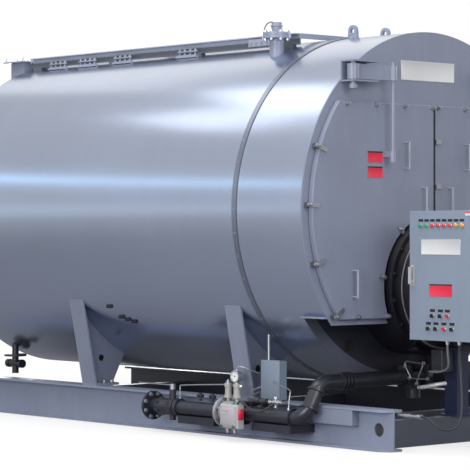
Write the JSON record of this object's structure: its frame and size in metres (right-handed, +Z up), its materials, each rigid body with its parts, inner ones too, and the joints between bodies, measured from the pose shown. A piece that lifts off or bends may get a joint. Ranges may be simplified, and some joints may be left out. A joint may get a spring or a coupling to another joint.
{
  "type": "industrial fire-tube boiler",
  "caption": "Horizontal fire-tube boiler drum on a steel skid, with davit-hung smokebox doors, front burner, control cabinet and side gas train.",
  "frame": {"origin": "floor level, under the middle of the skid's central cross member, on the centre line", "axes": "+X along the drum towards the smokebox doors and burner, +Y away from the gas train, +Z up"},
  "size_m": [6.139, 2.7404, 3.225],
  "materials": {
    "black_paint": "black enamel",
    "dark_steel": "heat-darkened plate",
    "grey_paint": "semi-gloss blue-grey enamel",
    "jacket_steel": "polished stainless sheet with a soft grain",
    "navy_paint": "dark blue enamel",
    "panel_paint": "light grey powder coat",
    "pipe_black": "dark pipe lacquer",
    "white_paint": "white enamel",
    "zinc_steel": "zinc-plated steel"
  },
  "bodies": {
    "boiler": {"blowdown_valve": "pipe_black", "boiler_shell": "jacket_steel", "burner_drum": "black_paint", "burner_fan_casing": "black_paint", "burner_housing": "black_paint", "burner_motor": "navy_paint", "burner_pedestal": "navy_paint", "clamp_lugs": "grey_paint", "davit_brackets": "grey_paint", "flue_outlet": "grey_paint", "front_head": "dark_steel", "front_legs": "grey_paint", "gas_burner_elbow": "pipe_black", "gas_cock_body": "pipe_black", "gas_gauge": "zinc_steel", "gas_inlet_spool": "pipe_black", "gas_pipe_brackets": "pipe_black", "gas_regulators": "white_paint", "gas_riser_pipe": "pipe_black", "gas_safety_valve": "white_paint", "gas_spool": "pipe_black", "gas_throttle_valve": "pipe_black", "gas_valve_actuator": "white_paint", "junction_box": "panel_paint", "junction_conduit": "zinc_steel", "lifting_lugs": "grey_paint", "panel_brackets": "panel_paint", "panel_cabinet": "panel_paint", "rail_cover_box": "grey_paint", "rear_access_door": "grey_paint", "rear_head": "dark_steel", "rear_legs": "grey_paint", "rear_smokebox": "grey_paint", "servo_conduit": "zinc_steel", "shell_band": "jacket_steel", "skid_conduit": "zinc_steel", "skid_cross_members": "grey_paint", "skid_front_beam": "grey_paint", "skid_rail_left": "grey_paint", "skid_rail_right": "grey_paint", "smokebox_floor": "dark_steel", "smokebox_front_plate": "grey_paint", "smokebox_wrapper": "jacket_steel", "steam_nozzle": "pipe_black", "top_cross_beams": "grey_paint", "top_rail_left": "grey_paint", "top_rail_right": "grey_paint"},
    "left_davit": {"left_davit_arm": "grey_paint"},
    "left_door": {"left_door": "grey_paint", "left_door_clamps": "zinc_steel", "left_door_hanger": "grey_paint", "left_door_handles": "zinc_steel"},
    "right_davit": {"right_davit_arm": "grey_paint"},
    "right_door": {"right_door": "grey_paint", "right_door_clamps": "zinc_steel", "right_door_hanger": "grey_paint", "right_door_handles": "zinc_steel"},
    "panel_door": {"panel_door": "panel_paint", "panel_latch": "zinc_steel"},
    "gas_lever": {"gas_cock_lever": "zinc_steel"}
  },
  "joints": [
    {"name": "left_davit_swing", "type": "hinge", "parent": "boiler", "child": "left_davit", "pos_m": [2.02, -0.925, 2.78], "axis": [0, 0, -1], "range_deg": [0, 150]},
    {"name": "left_door_turn", "type": "hinge", "parent": "left_davit", "child": "left_door", "pos_m": [2.06, -0.548, 2.19], "axis": [0, 0, -1], "range_deg": [-150, 0]},
    {"name": "right_davit_swing", "type": "hinge", "parent": "boiler", "child": "right_davit", "pos_m": [2.02, 0.925, 2.78], "axis": [0, 0, 1], "range_deg": [0, 150]},
    {"name": "right_door_turn", "type": "hinge", "parent": "right_davit", "child": "right_door", "pos_m": [2.06, 0.548, 2.19], "axis": [0, 0, 1], "range_deg": [-150, 0]},
    {"name": "panel_door_hinge", "type": "hinge", "parent": "boiler", "child": "panel_door", "pos_m": [3.12, -0.693, 1.28], "axis": [0, 0, 1], "range_deg": [0, 110]},
    {"name": "gas_lever_turn", "type": "hinge", "parent": "boiler", "child": "gas_lever", "pos_m": [0.21, -1.15, 0.378], "axis": [0, 0, 1], "range_deg": [0, 90]}
  ],
  "couplings": [
    {"joint": "left_door_turn", "follows": "left_davit_swing", "ratio": -1},
    {"joint": "right_door_turn", "follows": "right_davit_swing", "ratio": -1}
  ]
}
